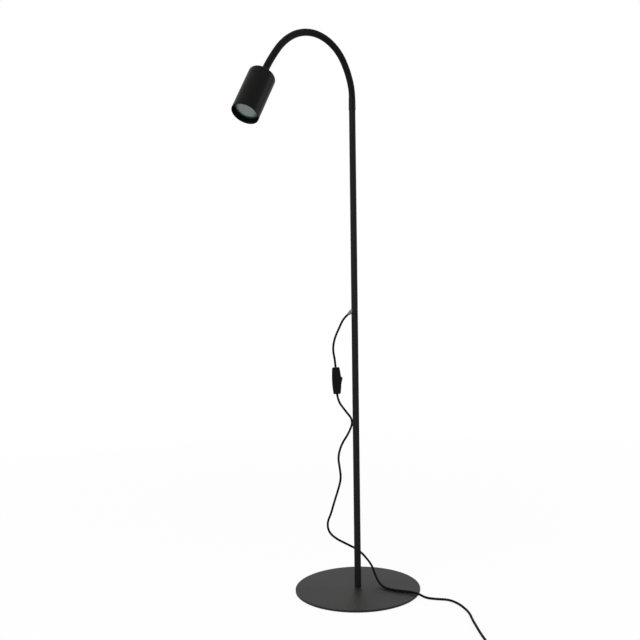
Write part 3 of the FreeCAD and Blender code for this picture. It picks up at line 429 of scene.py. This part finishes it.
# ---------------------------------------------------------------- neck sleeve
def neck_centreline(steps_a_link=14):
    """Rings' places along the bendable neck: length so far, centre, and the ring's two axes."""
    pitch = neck_flex_length / neck_joints
    last_joint = neck_flex_length - pitch / 2
    point = Vector((0, 0, neck_start_height))
    heading = 0.0
    travelled = 0.0
    arcs = [(travelled, point.copy(), heading)]
    for index, turn in enumerate(neck_turns):
        length = pitch / 2 if index in (0, neck_joints) else pitch
        bend = math.radians(turn)
        radius = length / bend
        centre = point - Vector((math.cos(heading), 0, math.sin(heading))) * radius
        for step in range(1, steps_a_link + 1):
            angle = heading + bend * step / steps_a_link
            place = centre + Vector((math.cos(angle), 0, math.sin(angle))) * radius
            arcs.append((travelled + length * step / steps_a_link, place, angle))
        point = arcs[-1][1].copy()
        heading += bend
        travelled += length
    line = []
    for travelled, place, angle in arcs:
        # Past the last joint the neck leans out of its plane, eased over a short length.
        beyond = travelled - last_joint
        ease = min(max((beyond + sway_spread) / (2 * sway_spread), 0), 1)
        leaning = max(beyond, sway_spread) if ease == 1 else ease * ease * sway_spread
        aside = math.tan(head_sway) * leaning
        outward = Vector((math.cos(angle), 0, math.sin(angle)))
        along = Vector((-math.sin(angle), 0, math.cos(angle)))
        across = Vector((0, 1, 0)) * math.cos(head_sway * ease) + along * math.sin(head_sway * ease)
        line.append((travelled, place - Vector((0, aside, 0)), outward, across))
    return line


def sleeve_piece(name, line, sides=36):
    """A short length of hollow sleeve along part of the neck's line."""
    mesh = bmesh.new()
    rings = []
    for radius in (neck_radius, neck_radius - neck_skin_wall):
        for _, place, outward, across in line:
            ring = []
            for side in range(sides):
                turn = 2 * math.pi * side / sides
                side_way = outward * math.cos(turn) + across * math.sin(turn)
                ring.append(mesh.verts.new(place + side_way * radius))
            rings.append(ring)
    count = len(line)
    outer, inner = rings[:count], rings[count:]
    loops = outer + inner[::-1]
    for ring, following in zip(loops, loops[1:] + loops[:1]):
        for side in range(sides):
            after = (side + 1) % sides
            mesh.faces.new((ring[side], ring[after], following[after], following[side]))
    bmesh.ops.recalc_face_normals(mesh, faces=mesh.faces)
    data = bpy.data.meshes.new(name)
    mesh.to_mesh(data)
    mesh.free()
    for polygon in data.polygons:
        polygon.use_smooth = True
    piece = bpy.data.objects.new(name, data)
    bpy.context.scene.collection.objects.link(piece)
    return piece


def make_sleeve():
    line = neck_centreline()
    pitch = neck_flex_length / neck_joints
    for index in range(neck_joints):
        low, high = index * pitch - 1e-6, (index + 1) * pitch + 1e-6
        part = [entry for entry in line if low <= entry[0] <= high]
        piece = sleeve_piece("sleeve_%d" % (index + 1), part)
        piece.data.materials.append(neck_rubber)
        # Each piece spans one joint, ending half a link either side, so that neighbours meet in one ring.
        replaced = ["neck_sleeve_%d" % (index + 1)] + (["neck_sleeve_0"] if index == 0 else [])
        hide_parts(*replaced)
        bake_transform(piece)


# ---------------------------------------------------------------- mains lead
def lead_curve(name, points):
    curve = bpy.data.curves.new(name, "CURVE")
    curve.dimensions = "3D"
    curve.resolution_u = 12
    curve.bevel_depth = lead_diameter / 2
    curve.bevel_resolution = 6
    curve.use_fill_caps = True
    spline = curve.splines.new("NURBS")
    spline.points.add(len(points) - 1)
    for control, point in zip(spline.points, points):
        control.co = (*point, 1)
    spline.order_u = 3
    spline.use_endpoint_u = True
    curve.materials.append(lead_pvc)
    piece = bpy.data.objects.new(name, curve)
    bpy.context.scene.collection.objects.link(piece)
    return piece


def coil_point(turn):
    """The put-away length: two layers that spiral in, step up and spiral out again."""
    inward = coil_pitch * coil_turns / 2
    radius_at = lambda t: coil_radius - inward / 2 + coil_pitch * abs(t - coil_turns / 2)
    climb = min(max((turn - coil_turns / 2) / 0.5 + 0.5, 0), 1)
    height = lead_diameter / 2 + floor_play + coil_rise * climb * climb * (3 - 2 * climb)
    centre = (coil_start[0] + radius_at(0), coil_start[1])
    angle = math.pi + 2 * math.pi * turn
    radius = radius_at(turn)
    return lead_side(centre[0] + radius * math.cos(angle), centre[1] + radius * math.sin(angle), height)


def coil_route():
    steps = int(round(coil_turns * coil_points_a_turn))
    points = [coil_point(step / coil_points_a_turn) for step in range(1, steps + 1)]
    way = coil_point(coil_turns) - coil_point(coil_turns - 0.004)
    way.z = 0
    way.normalize()
    landing = points[-1] + way * coil_lead_out
    landing.z = plug_thickness / 2
    return points + [landing, landing + way * coil_straight]


def make_lead():
    upper = [exit_tip(grommet_reach), exit_tip(grommet_reach + lead_straight)]
    upper += route(upper_route) + [switch_axis(1, lead_straight), switch_axis(1, -lead_tail)]
    to_switch = lead_curve("lead_to_switch", upper)
    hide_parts("cord_upper")
    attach(to_switch, "stand")
    lower = [switch_axis(-1, -lead_tail), switch_axis(-1, lead_straight)] + route(lower_route)
    coil_entry = lead_side(coil_start[0], coil_start[1] + lead_diameter, lead_diameter / 2 + floor_play)
    lower += [coil_entry, lead_side(*coil_start, lead_diameter / 2 + floor_play)] + coil_route()
    to_plug = lead_curve("lead_to_plug", lower)
    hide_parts("cord_lower", "cord_coil")
    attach(to_plug, "stand")


# ---------------------------------------------------------------- finishes on the carried-over pieces
def finish_pieces():
    finishes = {
        "base_disc": base_coat,
        "base_pad": pad_foam,
        "pole_tube": pole_coat,
        "neck_collar": collar_coat,
        "shade": shade_coat,
        "pole_grommet": grommet_plastic,
        "switch_front": switch_plastic,
        "switch_back": switch_plastic,
        "switch_rocker": rocker_plastic,
        "plug_body": plug_pvc,
        "plug_pins": pin_metal,
        "lamp_pins": pin_metal,
        "switch_contacts": contact_brass,
        "lampholder": holder_ceramic,
        "holder_wires": wire_silicone,
        "lamp_housing": reflector_bowl,
        "lamp_glass": cover_glass,
        "lamp_capsule": capsule_glass,
    }
    for name, node in nodes.items():
        if name in finishes:
            finish = finishes[name]
        elif "lead" in name or name.startswith("cord_"):
            finish = lead_pvc
        elif name.startswith("neck_sleeve"):
            finish = neck_rubber
        elif name.startswith("neck_conduit"):
            finish = conduit_steel
        else:
            finish = zinc_steel
        for place in range(len(node.data.materials)):
            node.data.materials[place] = finish
        if not node.data.materials:
            node.data.materials.append(finish)


# ---------------------------------------------------------------- studio
def aim(thing, target):
    way = Vector(target) - thing.location
    thing.rotation_mode = "QUATERNION"
    thing.rotation_quaternion = way.to_track_quat("-Z", "Y")


def soft_light(name, azimuth, height, width, tall, power):
    light = bpy.data.lights.new(name, "AREA")
    light.shape = "RECTANGLE"
    light.size = width
    light.size_y = tall
    light.energy = power
    thing = bpy.data.objects.new(name, light)
    turn = math.radians(azimuth)
    thing.location = (softbox_distance * math.cos(turn), softbox_distance * math.sin(turn), height)
    bpy.context.scene.collection.objects.link(thing)
    aim(thing, (0, 0, softbox_aim_height))


def seen_rays(tree):
    """1 for rays that show the surroundings: from the camera, in gloss and through glass."""
    path = tree.nodes.new("ShaderNodeLightPath")
    both = math_node(tree, "MAXIMUM", path.outputs["Is Camera Ray"], path.outputs["Is Glossy Ray"])
    return math_node(tree, "MAXIMUM", both, path.outputs["Is Transmission Ray"])


def make_world():
    world = bpy.data.worlds.new("studio")
    bpy.context.scene.world = world
    world.use_nodes = True
    tree = world.node_tree
    background = tree.nodes["Background"]
    strength = range_node(tree, seen_rays(tree), world_light, 1.0)
    background.inputs["Color"].default_value = (1, 1, 1, 1)
    tree.links.new(strength, background.inputs["Strength"])


def make_floor():
    bpy.ops.mesh.primitive_circle_add(vertices=96, radius=paper_radius, fill_type="NGON", location=(0, 0, 0))
    floor = bpy.context.object
    floor.name = "studio_floor"
    material, tree, shader = new_material("floor_paper")
    shader.inputs["Base Color"].default_value = (0.94, 0.94, 0.94, 1)
    shader.inputs["Roughness"].default_value = 0.9
    shader.inputs["Specular IOR Level"].default_value = 0.0
    glow = tree.nodes.new("ShaderNodeEmission")
    mixer = tree.nodes.new("ShaderNodeMixShader")
    # Only the paper near the lamp takes its shadow in the view; further off it fades into the white.
    place = tree.nodes.new("ShaderNodeTexCoord").outputs["Object"]
    length = tree.nodes.new("ShaderNodeVectorMath")
    length.operation = "LENGTH"
    tree.links.new(place, length.inputs[0])
    fade = tree.nodes.new("ShaderNodeMapRange")
    fade.inputs["From Min"].default_value, fade.inputs["From Max"].default_value = paper_shadow_reach
    fade.inputs["To Min"].default_value, fade.inputs["To Max"].default_value = paper_white_share
    tree.links.new(length.outputs["Value"], fade.inputs["Value"])
    share = math_node(tree, "MULTIPLY", seen_rays(tree), fade.outputs["Result"])
    tree.links.new(share, mixer.inputs["Fac"])
    tree.links.new(shader.outputs["BSDF"], mixer.inputs[1])
    tree.links.new(glow.outputs["Emission"], mixer.inputs[2])
    tree.links.new(mixer.outputs["Shader"], tree.nodes["Material Output"].inputs["Surface"])
    floor.data.materials.append(material)


def make_camera():
    data = bpy.data.cameras.new("photo_camera")
    data.sensor_fit = "HORIZONTAL"
    data.sensor_width = 36
    data.lens = camera_lens
    data.shift_x = camera_shift
    data.clip_start, data.clip_end = 0.05, 50
    camera = bpy.data.objects.new("photo_camera", data)
    bpy.context.scene.collection.objects.link(camera)
    outward = Vector((math.cos(camera_azimuth), math.sin(camera_azimuth), 0))
    ahead = -outward * math.cos(camera_pitch) + Vector((0, 0, math.sin(camera_pitch)))
    right = ahead.cross(Vector((0, 0, 1))).normalized()
    up = right.cross(ahead)
    roll = Matrix.Rotation(camera_roll, 3, ahead)
    axes = Matrix((roll @ right, roll @ up, -ahead)).transposed()
    camera.rotation_mode = "QUATERNION"
    camera.rotation_quaternion = axes.to_quaternion()
    camera.location = outward * camera_distance + Vector((0, 0, camera_height))
    bpy.context.scene.camera = camera


coat_grain = make_coat_grain()
brushed_lines = make_brushed_lines()
base_coat = grained(
    "base_powder_coat", (0.009, 0.009, 0.0085), (0.014, 0.014, 0.013),
    1400, 0.25, 0.46, 0.56, 0.17,
)
pole_coat = grained(
    "pole_powder_coat", (0.010, 0.010, 0.010), (0.015, 0.015, 0.0145),
    1400, 0.1, 0.40, 0.50, 0.03,
)
shade_coat = grained(
    "shade_powder_coat", (0.004, 0.004, 0.0038), (0.007, 0.007, 0.0066),
    1400, 0.1, 0.3, 0.4, 0.05,
)
collar_coat = grained(
    "collar_coat", (0.005, 0.005, 0.005), (0.008, 0.008, 0.008),
    1500, 0.1, 0.34, 0.44, 0.05,
)
neck_rubber = grained(
    "neck_rubber", (0.004, 0.004, 0.004), (0.007, 0.007, 0.007),
    700, 0.15, 0.42, 0.54, 0.04,
)
pad_foam = grained("pad_foam", (0.02, 0.02, 0.02), (0.03, 0.03, 0.03), 2500, 0.6, 0.8, 0.95, 0.2)
lead_pvc = grained("lead_pvc", (0.004, 0.004, 0.004), (0.006, 0.006, 0.006), 900, 0.1, 0.42, 0.52, 0.02)
plug_pvc = grained(
    "plug_pvc", (0.008, 0.008, 0.008), (0.012, 0.012, 0.012),
    2200, 0.3, 0.45, 0.55, 0.25,
)
switch_plastic = grained(
    "switch_plastic", (0.004, 0.004, 0.004), (0.006, 0.006, 0.006),
    2600, 0.2, 0.42, 0.55, 0.04,
)
rocker_plastic = grained(
    "rocker_plastic", (0.003, 0.003, 0.003), (0.005, 0.005, 0.005),
    1500, 0.05, 0.28, 0.36, 0.12,
)
grommet_plastic = grained(
    "grommet_plastic", (0.12, 0.125, 0.12), (0.17, 0.175, 0.17),
    900, 0.1, 0.35, 0.45, 0.4,
)
holder_ceramic = grained("holder_ceramic", (0.72, 0.71, 0.67), (0.80, 0.79, 0.75), 600, 0.1, 0.2, 0.3)
wire_silicone = grained("wire_silicone", (0.6, 0.6, 0.58), (0.7, 0.7, 0.68), 900, 0.1, 0.5, 0.6)
zinc_steel = bare_metal("zinc_steel", (0.55, 0.56, 0.56), (1, 1, 12))
conduit_steel = bare_metal("conduit_steel", (0.35, 0.35, 0.35), (1, 1, 12), 0.5)
contact_brass = bare_metal("contact_brass", (0.62, 0.45, 0.2), (1, 1, 12))
pin_metal = bare_metal("pin_metal", (0.62, 0.6, 0.55), (12, 12, 1))
reflector_bowl = coated_reflector()
cover_glass = pressed_glass()
capsule_glass = clear_glass("capsule_glass", (0.9, 0.92, 0.92), 0.02)

finish_pieces()
make_sleeve()
make_lead()
make_world()
make_floor()
soft_light("key_softbox", azimuth=190, height=1.9, width=1.4, tall=1.4, power=30)
soft_light("side_softbox", azimuth=330, height=1.5, width=1.0, tall=1.6, power=10)
make_camera()
bpy.context.scene.view_settings.view_transform = "Standard"
